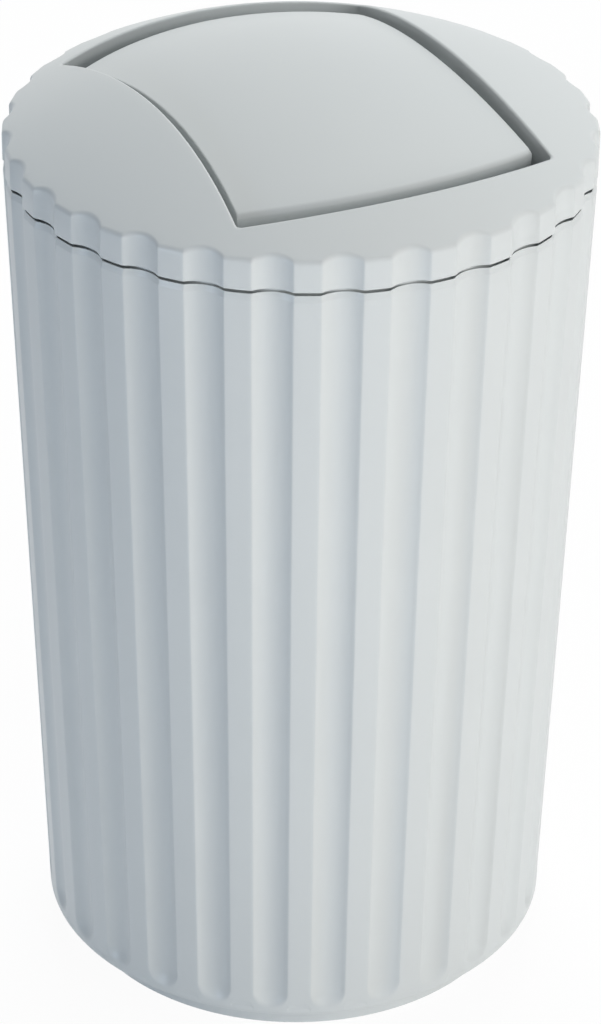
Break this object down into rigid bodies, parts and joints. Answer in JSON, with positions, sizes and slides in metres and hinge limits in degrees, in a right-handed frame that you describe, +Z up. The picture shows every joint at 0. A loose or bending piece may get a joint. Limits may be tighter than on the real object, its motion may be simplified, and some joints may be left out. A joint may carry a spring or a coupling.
{
  "type": "swing-lid waste bin",
  "caption": "Round tapered waste bin with vertical flutes, a domed lift-off lid and a domed flap that swings both ways in the lid's opening.",
  "frame": {"origin": "on the floor under the middle of the bin", "axes": "+Z up along the bin's axis, X along the flap's pivot, -Y the side that faces the user"},
  "size_m": [0.2, 0.2, 0.3368],
  "materials": {
    "grey_plastic": "satin moulded polypropylene, light cool grey"
  },
  "bodies": {
    "bin": {"bin_body": "grey_plastic"},
    "lid": {"lid": "grey_plastic"},
    "flap": {"swing_flap": "grey_plastic"}
  },
  "joints": [
    {"name": "lid_lift", "type": "slide", "parent": "bin", "child": "lid", "axis": [0, 0, 1], "range_m": [0, 0.06]},
    {"name": "flap_swing", "type": "hinge", "parent": "lid", "child": "flap", "pos_m": [0, 0, 0.32368], "axis": [1, 0, 0], "range_deg": [-80, 80]}
  ]
}
